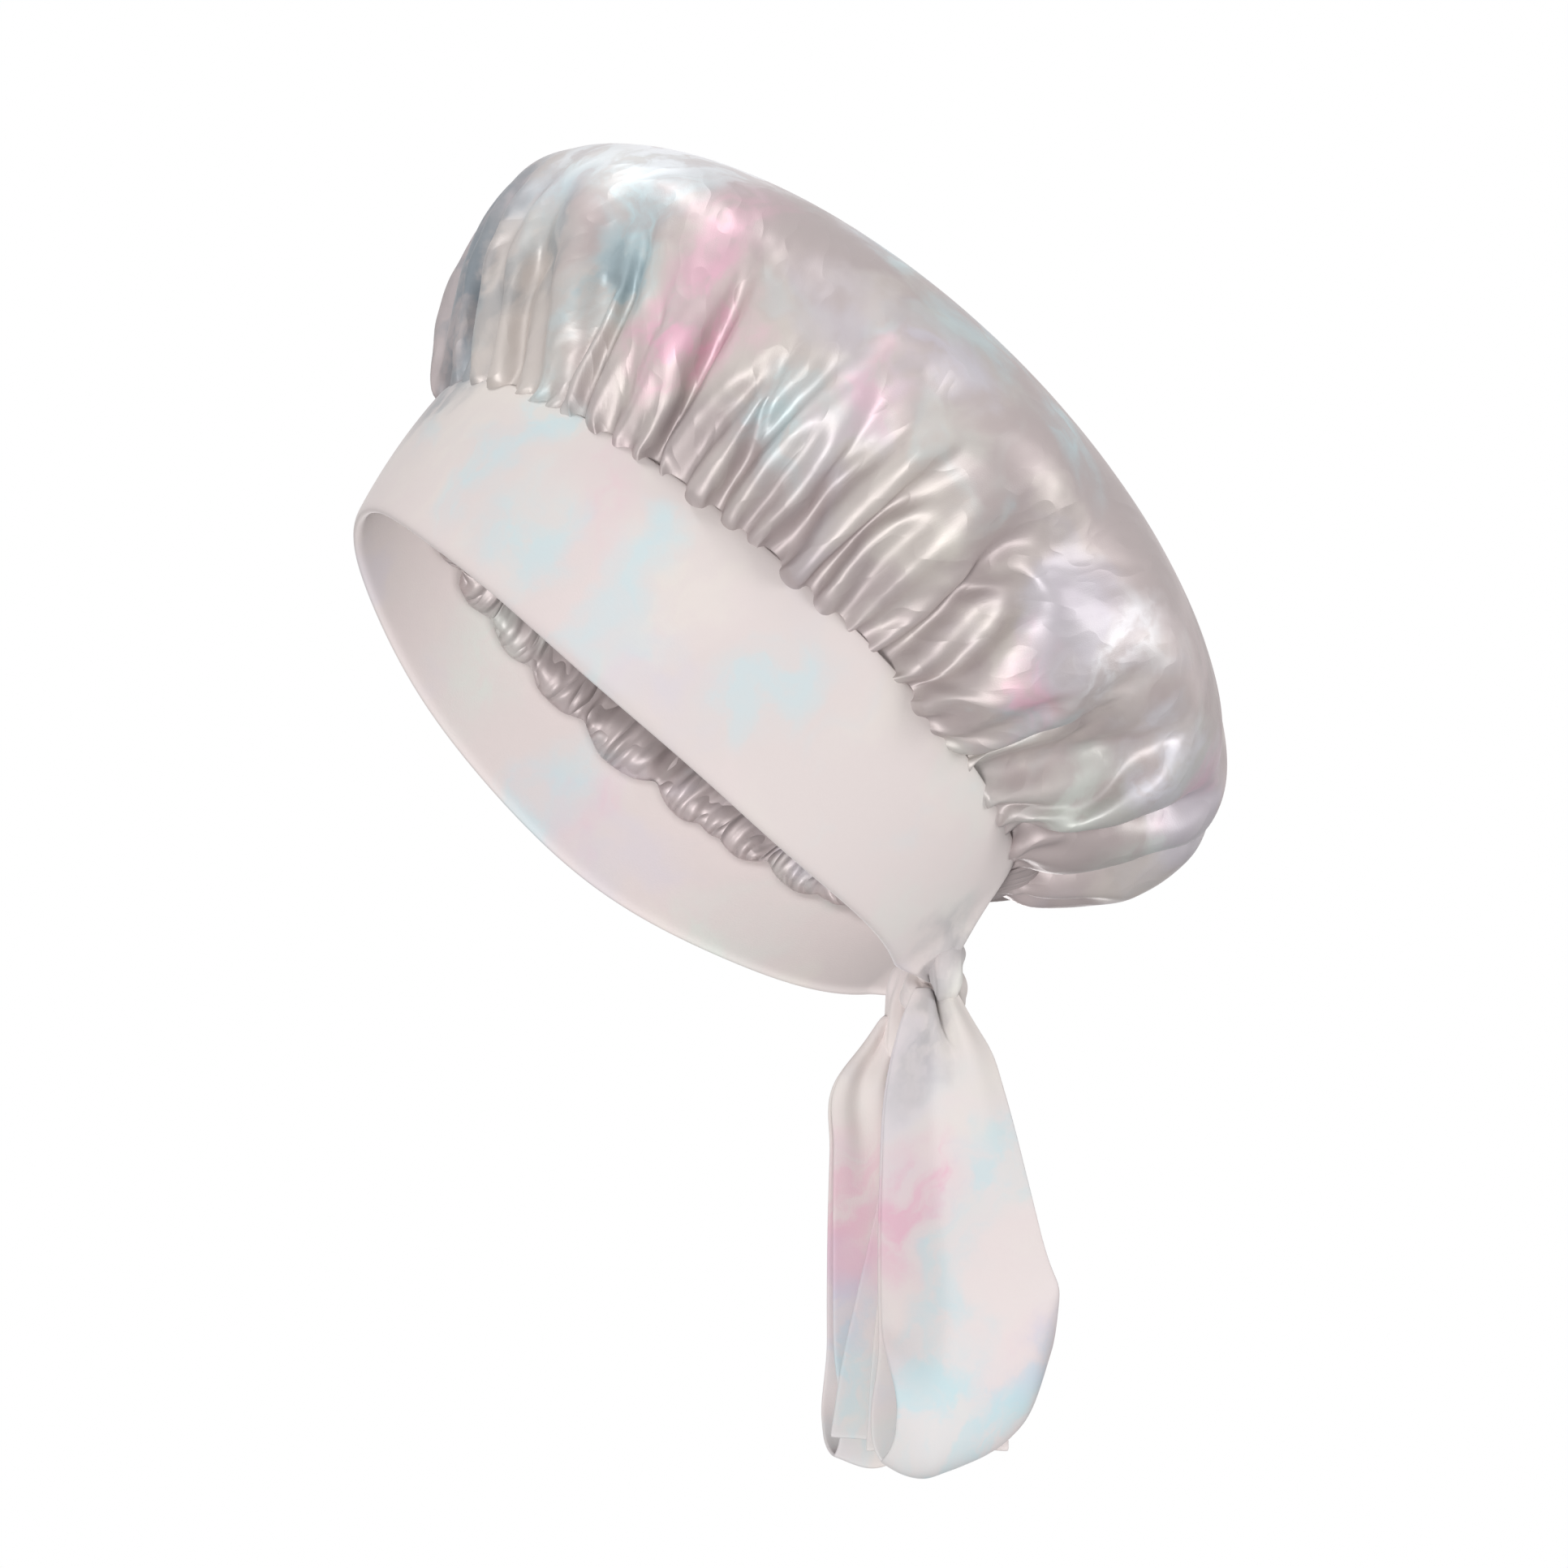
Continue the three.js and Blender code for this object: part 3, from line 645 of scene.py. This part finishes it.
def loop_shape(side, form, edges, drop, lifts):
    """A strip that hangs down its inner layer, turns round and comes up its outer one. Form
    gives the inner layer's distance from the middle, the room in the loop and how far it is
    shut at the front, the hood, ridge and pleats under the knot, and the turned fold's skew.
    Edges give shares of the depth with the front and back edge there in mm, lifts how far the
    turned fold rises across the strip."""
    depths, front, back = (np.array(row) for row in zip(*edges))
    top, length = drop

    def shape(u, v):
        s = 2 * u - 1
        depth = 1 - s * s
        across = 2 * v - 1
        outer = s > 0
        swell = 2.8 * form["depth"] * (1 - s * s) ** 1.2 * s
        shut = lerp(form["shut"], 1, smooth(v, 0, 0.4))
        swell = swell * lerp(shut, 1, smooth(depth, 0.7, 0.9))
        x = form["inner"] + 0.8 * MM * (1 + s) + np.where(outer, swell, 0.1 * swell)
        hood = form["hood"] * smooth(depth, -0.02, 0.06) * (1 - smooth(depth, 0.1, 0.5))
        hood = hood * (1 - across**2)
        dimple = np.exp(-(((v - 0.5 - 0.5 * depth) / 0.09) ** 2 + ((depth - 0.04) / 0.085) ** 2))
        pleats = np.cos(form["pleats"] * math.pi * across + 0.9 + 1.5 * s)
        pleats = form["pleat"] * pleats * (1 - smooth(depth, 0.03, 0.5)) * smooth(depth, 0, 0.06)
        ridge = form["ridge"] * np.exp(-(((depth - 0.14 - 0.05 * v) / 0.035) ** 2))
        x = x + np.where(outer, hood - 1.1 * form["hood"] * dimple, -ridge) + pleats
        x = x + 0.9 * MM * np.sin(2.3 * across + 3 * depth) * smooth(depth, 0.2, 0.6)
        turn = np.sign(s) * smooth(np.abs(s), 0, 0.24) * (1 - smooth(np.abs(s), 0.3, 0.52))
        y = lerp(curve(front, depth, depths), curve(back, depth, depths), v) * MM
        y = y + form["skew"] * turn * (1 - smooth(v, 0, 0.6))
        lift = curve(np.array(lifts) * MM, v) * smooth(depth, 0.5, 1)
        z = top - length * depth + lift
        return np.stack([side * x, y, z], -1)

    return shape


def bow_loops():
    near = loop_shape(
        1, {"inner": 9.6 * MM, "depth": 13.5 * MM, "shut": 0.25, "hood": 4.5 * MM, "ridge": 0,
            "pleats": 2.6, "pleat": 0.5 * MM, "skew": 2.5 * MM},
        [(0, 80, 91), (0.07, 76, 96), (0.135, 73.6, 101), (0.2, 71.8, 103.4), (0.4, 70, 109.5),
         (0.6, 69.5, 115), (0.8, 69.8, 117.6), (1, 70, 118)],
        (-66 * MM, 137 * MM), [4.3, 1, 0, 2, 4.5, 7.5, 12, 20, 38],
    )
    far = loop_shape(
        -1, {"inner": 9.6 * MM, "depth": 13 * MM, "shut": 0.6, "hood": 2.0 * MM, "ridge": 1.6 * MM,
             "pleats": 3.4, "pleat": 1.2 * MM, "skew": -1.6 * MM},
        [(0, 75, 85), (0.06, 70, 89), (0.15, 61.5, 93), (0.3, 60.6, 98), (0.6, 60.2, 104), (1, 61, 105)],
        (-70 * MM, 127 * MM), [3, 0, 4, 8, 15],
    )
    neck = KNOT + Vector((0, 0, -3 * MM))
    bend = neck, neck + Vector((0, 0, -30 * MM))
    for name, shape, width, length in (("left", near, 0.047, 0.285), ("right", far, 0.047, 0.262)):
        piece = grid_piece(f"{name}_bow_loop_strip", 132, 40, shape, (length, width))
        thicken(piece, TIE_PLY)
        soften(piece)
        dress(piece, f"{name}_loop", f"{name}_bow_loop",
              jersey_finish("tie jersey", "tie"), bend)


def tie_ends():
    """Flat strips that hang under the knot, cut straight across. Sizes in mm give the distance
    from the middle, the front and back edges down the strip, the top and both edges' lengths."""
    sizes = {
        "left": (4.1, ([88, 81, 75, 71, 68.5, 67], [92, 98, 100, 100, 99, 97.6]), -80.4, (115, 112)),
        "right": (-4.1, ([82, 76, 72, 67, 62, 58.5], [86, 98, 104, 107, 108.5, 109]), -80.4,
                  (110, 112.5)),
    }
    for name, (x, edges, top, lengths) in sizes.items():
        front, back = (np.array(row) * MM for row in edges)

        def shape(u, v, front=front, back=back, x=x, top=top, lengths=lengths):
            across = 2 * v - 1
            gathered = 1 - smooth(u, 0.02, 0.7)
            fold = 1.3 * MM * np.cos(3.4 * math.pi * across + 0.6) * gathered * smooth(u, 0, 0.06)
            sway = 0.8 * MM * np.sin(2.2 * across + 2.5 * u) * u
            y = lerp(curve(front, u), curve(back, u), v)
            z = (top - lerp(lengths[0], lengths[1], v) * u) * MM
            return np.stack([x * MM + fold + sway, y, z], -1)

        flat = (0.048, max(lengths) * MM)
        piece = grid_piece(f"{name}_tie_end_strip", 60, 40, shape, (flat[1], flat[0]))
        thicken(piece, TIE_PLY)
        soften(piece)
        0.72 * flat[0] * flat[1]
        dress(piece, f"{name}_end", f"{name}_tie_end", jersey_finish("tie jersey", "tie"))


# Finishes

class Wire:
    """A shader socket that takes part in sums."""

    def __init__(self, finish, socket):
        self.finish = finish
        self.socket = socket

    def __add__(self, other):
        return self.finish.math("ADD", self, other)

    def __sub__(self, other):
        return self.finish.math("SUBTRACT", self, other)

    def __rsub__(self, other):
        return self.finish.math("SUBTRACT", other, self)

    def __mul__(self, other):
        return self.finish.math("MULTIPLY", self, other)

    __radd__ = __add__
    __rmul__ = __mul__


class Finish:
    """A material, with its nodes made by plain calls."""

    def __init__(self, name):
        self.material = bpy.data.materials.new(name)
        self.material.use_nodes = True
        self.tree = self.material.node_tree
        self.surface = self.tree.nodes["Principled BSDF"]

    def node(self, kind, settings, sockets, output=0):
        made = self.tree.nodes.new(kind)
        for name, value in settings.items():
            setattr(made, name, value)
        for name, value in sockets.items():
            self.feed(made.inputs[name], value)
        return Wire(self, made.outputs[output])

    def feed(self, socket, value):
        if isinstance(value, Wire):
            self.tree.links.new(value.socket, socket)
        else:
            socket.default_value = value

    def math(self, operation, a, b):
        return self.node("ShaderNodeMath", {"operation": operation}, {0: a, 1: b})

    def ramp(self, value, low, high):
        return self.node("ShaderNodeMapRange", {"interpolation_type": "SMOOTHSTEP"},
                         {"Value": value, "From Min": low, "From Max": high})

    def mix(self, share, a, b):
        made = self.tree.nodes.new("ShaderNodeMix")
        made.data_type = "RGBA"
        for socket, value in ((made.inputs[0], share), (made.inputs[6], a), (made.inputs[7], b)):
            self.feed(socket, value)
        return Wire(self, made.outputs[2])

    def noise(self, place, scale, detail=2, output="Fac"):
        sockets = {"Vector": place, "Scale": scale, "Detail": detail}
        return self.node("ShaderNodeTexNoise", {}, sockets, output)

    def bump(self, strength, distance, height, **more):
        sockets = {"Strength": strength, "Distance": distance, "Height": height, **more}
        return self.node("ShaderNodeBump", {}, sockets)

    def vector(self, operation, a, b, output="Vector"):
        return self.node("ShaderNodeVectorMath", {"operation": operation}, {0: a, 1: b}, output)

    def place(self):
        return self.node("ShaderNodeTexCoord", {}, {}, "Object")

    def cloth_map(self):
        return self.node("ShaderNodeUVMap", {"uv_map": "cloth"}, {})

    def set(self, **sockets):
        for name, value in sockets.items():
            self.feed(self.surface.inputs[name.replace("_", " ")], value)


TONES = {
    "jersey": (0.712, 0.640, 0.628, 1),
    "tie": (0.780, 0.705, 0.697, 1),
    "satin": (0.455, 0.392, 0.390, 1),
    "rose": (0.770, 0.660, 0.660, 1),
    "pink": (0.790, 0.430, 0.560, 1),
    "blue": (0.510, 0.720, 0.770, 1),
    # Slate: a dye tone whose spots are also painted shade on the crown's front and under the knot
    "slate_and_painted_shade": (0.205, 0.240, 0.270, 1),
    "lilac": (0.600, 0.600, 0.730, 1),
    "mint": (0.650, 0.740, 0.680, 1),
    "cream": (0.790, 0.760, 0.680, 1),
    # Pale: a pale dye tone whose spots are also a painted highlight on the crown's top and back
    "pale": (0.870, 0.880, 0.915, 1),
}

# Dye clouds by tone: scale, the noise levels where they start and fill, and strength
CLOUDS = [
    ("rose", 16, 0.48, 0.68, 0.35), ("cream", 18, 0.5, 0.7, 0.35), ("lilac", 14, 0.56, 0.72, 0.35),
    ("mint", 17, 0.56, 0.72, 0.3), ("blue", 19, 0.6, 0.74, 0.35),
]

# Dye spots by tone: centre and radius in mm, and strength. Not all are dye: the slate spots on the
# crown's front and under the knot are partly painted shade, and the pale spots on the crown's top and
# back are partly a painted highlight.
DYE_AND_PAINTED_LIGHT_SPOTS = [
    ("pink", (96, 4, 101), 22, 0.75), ("pink", (115, 51, 75), 16, 0.45),
    ("pink", (84, 94, -6), 17, 0.6), ("pink", (84, 15, 132), 22, 0.3),
    ("pink", (39, 152, -17), 14, 0.5), ("pink", (75, -20, 56), 16, 0.25),
    ("blue", (75, -25, 104), 20, 0.6), ("blue", (77, -16, 125), 16, 0.55),
    ("blue", (68, -5, 146), 24, 0.5), ("blue", (46, -24, 153), 20, 0.5),
    ("blue", (73, 61, 127), 18, 0.5), ("blue", (92, 78, 100), 16, 0.4),
    ("blue", (86, 109, 75), 20, 0.5), ("blue", (101, 24, 68), 15, 0.55),
    # Slate spots on the crown's front: partly dye, partly painted shade
    ("slate_and_painted_shade", (14, -37, 153), 26, 0.75), ("slate_and_painted_shade", (17, -51, 123), 32, 0.9),
    ("slate_and_painted_shade", (72, -20, 118), 13, 0.6), ("slate_and_painted_shade", (52, -42, 118), 16, 0.65),
    ("slate_and_painted_shade", (60, -30, 138), 10, 0.45), ("slate_and_painted_shade", (78, -24, 100), 12, 0.35),
    ("mint", (55, 119, -25), 18, 0.5), ("mint", (26, 140, -31), 18, 0.5),
    ("cream", (108, 70, 31), 18, 0.35), ("lilac", (59, 141, -15), 16, 0.5),
    # The pale spots from here on are partly pale dye and partly a painted highlight on the crown's top
    # and back
    ("lilac", (110, 68, 82), 14, 0.4), ("pale", (52, 12, 165), 36, 0.95),
    ("pale", (60, 62, 140), 26, 0.55), ("pale", (34, -10, 167), 24, 0.6),
    ("pale", (84, 128, 10), 20, 0.6), ("pale", (60, 140, -12), 14, 0.4),
    ("blue", (57, -35, 80), 13, 0.6), ("blue", (54, -51, 62), 12, 0.55),
    ("blue", (68, -39, 47), 15, 0.55), ("blue", (81, -10, 39), 12, 0.6),
    ("blue", (78, -25, 20), 10, 0.4), ("blue", (83, 27, 0), 16, 0.5),
    # The first spot here is slate dye and painted shade on the knot's near side
    ("slate_and_painted_shade", (20, 90, -55), 15, 0.35), ("cream", (84, -1, 22), 18, 0.3),
    ("cream", (42, -56, 74), 18, 0.3), ("blue", (-78, -9, 3), 16, 0.5),
    ("pink", (-79, 5, -3), 12, 0.35), ("mint", (-69, -29, 44), 20, 0.45),
    ("mint", (-66, 39, -35), 15, 0.4), ("pink", (22, 74, -130), 19, 0.7),
    ("pink", (24, 106, -176), 16, 0.25), ("blue", (22, 95, -129), 17, 0.55),
    ("blue", (24, 88, -158), 15, 0.55), ("blue", (22, 83, -190), 20, 0.75),
    ("blue", (20, 104, -192), 17, 0.8), ("blue", (22, 113, -176), 14, 0.6),
    # The first spot here is slate dye and painted shade at the near loop's neck under the knot
    ("slate_and_painted_shade", (14, 84, -76), 14, 0.35), ("blue", (19, 107, -108), 12, 0.4),
    ("lilac", (24, 117, -168), 16, 0.55), ("pink", (-10, 62, -124), 22, 0.55),
    ("pink", (-10, 66, -141), 18, 0.5), ("blue", (-9, 60, -158), 14, 0.6),
    ("blue", (-6, 62, -178), 20, 0.5), ("lilac", (-14, 60, -150), 16, 0.4),
]

STREAK_TURN = (math.radians(-28), 0, 0)  # the dye runs up and back
STREAK_SIZE = (0.9, 0.8, 1.5)


def dye_and_painted_light(finish, ground, spread):
    """Pastel tie-dye: soft clouds all over, and spots with ragged edges. Some spots are painted light:
    the slate ones partly painted shade, the pale ones partly a painted highlight.
    """
    place = finish.place()
    half = (0.5, 0.5, 0.5)
    wide = finish.vector("SUBTRACT", finish.noise(place, 30, 2, "Color"), half)
    fine = finish.vector("SUBTRACT", finish.noise(place, 110, 3, "Color"), half)
    bled = finish.vector("ADD", place, finish.vector("MULTIPLY", wide, (0.045, 0.045, 0.045)))
    bled = finish.vector("ADD", bled, finish.vector("MULTIPLY", fine, (0.013, 0.013, 0.013)))
    streaks = finish.node("ShaderNodeMapping", {"vector_type": "TEXTURE"},
                          {"Vector": bled, "Rotation": STREAK_TURN, "Scale": STREAK_SIZE})
    patchy = finish.ramp(finish.noise(streaks, 80, 3), 0.36, 0.6)
    unturn = Euler(STREAK_TURN).to_matrix().transposed()
    colour = TONES[ground]
    for number, (tone, scale, low, high, strength) in enumerate(CLOUDS):
        apart = finish.vector("ADD", bled, (0.37 * number, 0.21 * number, 0.53 * number))
        cloud = finish.ramp(finish.noise(apart, scale, 3), low, high) * (strength * spread)
        colour = finish.mix(cloud, colour, TONES[tone])
    # Spots over the clouds: dye, with painted shade from the slate spots and a painted highlight from
    # the pale spots
    for tone, centre, radius, strength in DYE_AND_PAINTED_LIGHT_SPOTS:
        middle = [c * MM / size for c, size in zip(unturn @ Vector(centre), STREAK_SIZE)]
        away = finish.vector("DISTANCE", streaks, middle, "Value")
        spot = (1 - finish.ramp(away, 0.2 * radius * MM, 1.25 * radius * MM)) * strength
        colour = finish.mix(spot * (0.3 + 0.7 * patchy), colour, TONES[tone])
    return colour


made_finishes = {}


def once(make):
    """Keeps one copy of each finish."""
    def kept(*words):
        key = (make.__name__, *words)
        if key not in made_finishes:
            made_finishes[key] = make(*words)
        return made_finishes[key]
    return kept


@once
def satin_finish(name, creases):
    """Dyed satin, with fine creases that stand up by so much. Its colour also holds painted shade and a
    painted highlight from the slate and pale spots.
    """
    finish = Finish(name)
    cloth = finish.cloth_map()
    grain = finish.noise(cloth, 2400, 2)
    slub = finish.noise(finish.vector("MULTIPLY", cloth, (1, 9, 1)), 160, 2)
    ridge = finish.math("ABSOLUTE", finish.noise(cloth, 62, 1) - 0.5, 0)
    crumple = finish.bump(1.0, creases, 1 - 4 * ridge)
    bump = finish.bump(0.25, 0.00012, grain + 0.6 * slub, Normal=crumple)
    finish.set(Base_Color=dye_and_painted_light(finish, "satin", 1.0), Normal=bump)
    finish.set(Roughness=0.41 + 0.10 * grain + 0.05 * slub)
    finish.set(Metallic=0.3, Specular_IOR_Level=0.4, Sheen_Weight=0.06, Sheen_Roughness=0.4)
    return finish.material


@once
def jersey_finish(name, ground):
    finish = Finish(name)
    cloth = finish.cloth_map()
    fuzz = finish.noise(cloth, 1500, 3)
    # This colour also carries the painted shade of the slate spots on the knot and the near loop's neck
    finish.set(Base_Color=dye_and_painted_light(finish, ground, 0.9), Roughness=0.72 + 0.1 * fuzz)
    finish.set(Normal=finish.bump(0.3, 0.00012, fuzz))
    finish.set(Specular_IOR_Level=0.25, Sheen_Weight=0.25, Sheen_Roughness=0.5)
    return finish.material


@once
def elastic_finish():
    finish = Finish("woven elastic")
    cloth = finish.cloth_map()
    weave = finish.node("ShaderNodeTexWave", {"bands_direction": "X"},
                        {"Vector": cloth, "Scale": 500}, "Fac")
    colour = finish.mix(weave, (0.72, 0.70, 0.66, 1), (0.86, 0.84, 0.80, 1))
    finish.set(Base_Color=colour, Roughness=0.75 + 0.1 * weave)
    finish.set(Normal=finish.bump(0.5, 0.0002, weave))
    return finish.material


@once
def thread_finish():
    finish = Finish("spun thread")
    ply = finish.noise(finish.place(), 1800, 2)
    colour = finish.mix(ply, (0.66, 0.60, 0.59, 1), (0.80, 0.75, 0.74, 1))
    finish.set(Base_Color=colour, Roughness=0.5 + 0.2 * ply)
    finish.set(Normal=finish.bump(0.4, 0.0001, ply))
    return finish.material


def dress(piece, body, node, material, bend=None):
    """Gives a piece its finish and, unless a bend is given, ties it to the solid that it stands for.
    With a bend the piece only keeps its place; the bend's points are not used."""
    piece.data.materials.append(material)
    if bend:
        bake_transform(piece)
    else:
        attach(piece, body)
    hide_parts(node)


# The studio

PIXELS = 1932
PIXELS_PER_METRE = 4420
VIEW_AZIMUTH = math.radians(80)
VIEW_ELEVATION = math.radians(-13)
LENS = 200
SENSOR = 36
VIEW_CENTRE = Vector((44.3, -8.7)) * MM  # right of the origin and above it, in the picture
FLOOR_LEVEL = -3.2
ROOM_LIGHT = 0.32  # what the white room sheds on the object, and it is seen at full strength


def camera():
    a, e = VIEW_AZIMUTH, VIEW_ELEVATION
    back = Vector((math.sin(a) * math.cos(e), -math.cos(a) * math.cos(e), math.sin(e)))
    right = Vector((math.cos(a), math.sin(a), 0))
    up = back.cross(right)
    data = bpy.data.cameras.new("camera")
    data.lens = LENS
    data.sensor_width = SENSOR
    distance = PIXELS / PIXELS_PER_METRE * LENS / SENSOR
    view = bpy.data.objects.new("camera", data)
    view.location = VIEW_CENTRE.x * right + VIEW_CENTRE.y * up + back * distance
    view.rotation_euler = back.to_track_quat("Z", "Y").to_euler()
    data.clip_start, data.clip_end = 0.1, 60
    bpy.context.scene.collection.objects.link(view)
    bpy.context.scene.camera = view


def lamp(name, place, size, power, aim=(0, 0.04, 0.03)):
    data = bpy.data.lights.new(name, "AREA")
    data.shape = "RECTANGLE"
    data.size, data.size_y = size
    data.energy = power
    made = bpy.data.objects.new(name, data)
    made.location = place
    made.rotation_euler = (Vector(aim) - Vector(place)).to_track_quat("-Z", "Y").to_euler()
    made.visible_camera = False
    bpy.context.scene.collection.objects.link(made)


def studio():
    bm = bmesh.new()
    bmesh.ops.create_grid(bm, x_segments=1, y_segments=1, size=40)
    bmesh.ops.translate(bm, vec=(0, 0, FLOOR_LEVEL), verts=bm.verts)
    floor = mesh_piece("floor", bm)
    paint = Finish("pale floor")
    paint.set(Base_Color=(0.86, 0.86, 0.86, 1), Roughness=0.9)
    floor.data.materials.append(paint.material)
    lamp("key", (0.4, -0.6, 2.0), (0.6, 0.4), 19)
    lamp("side", (1.0, 1.8, 0.3), (0.4, 0.9), 16)
    lamp("fill", (2.0, -0.9, -1.0), (0.7, 0.5), 38)
    lamp("far", (-1.8, 0.1, -0.3), (0.6, 0.6), 14)
    lamp("inside", (0.045, 0.0, 0.005), (0.08, 0.05), 0.05, aim=(-0.08, 0.01, 0))
    world = bpy.data.worlds.new("white room")
    world.use_nodes = True
    bpy.context.scene.world = world
    tree = world.node_tree
    path = tree.nodes.new("ShaderNodeLightPath")
    seen = path.outputs["Is Camera Ray"]
    for ray in ("Is Glossy Ray", "Is Transmission Ray"):
        either = tree.nodes.new("ShaderNodeMath")
        either.operation = "MAXIMUM"
        tree.links.new(seen, either.inputs[0])
        tree.links.new(path.outputs[ray], either.inputs[1])
        seen = either.outputs[0]
    strength = tree.nodes.new("ShaderNodeMapRange")
    strength.inputs["To Min"].default_value = ROOM_LIGHT
    tree.links.new(seen, strength.inputs["Value"])
    background = tree.nodes["Background"]
    background.inputs["Color"].default_value = (1, 1, 1, 1)
    tree.links.new(strength.outputs["Result"], background.inputs["Strength"])
    bpy.context.scene.view_settings.view_transform = "Standard"


camera()
studio()
crown()
lining()
band()
hem_elastic()
seam_thread()
nape_casing()
knot("left_strand", 1)
knot("right_strand", -1)
bow_loops()
tie_ends()
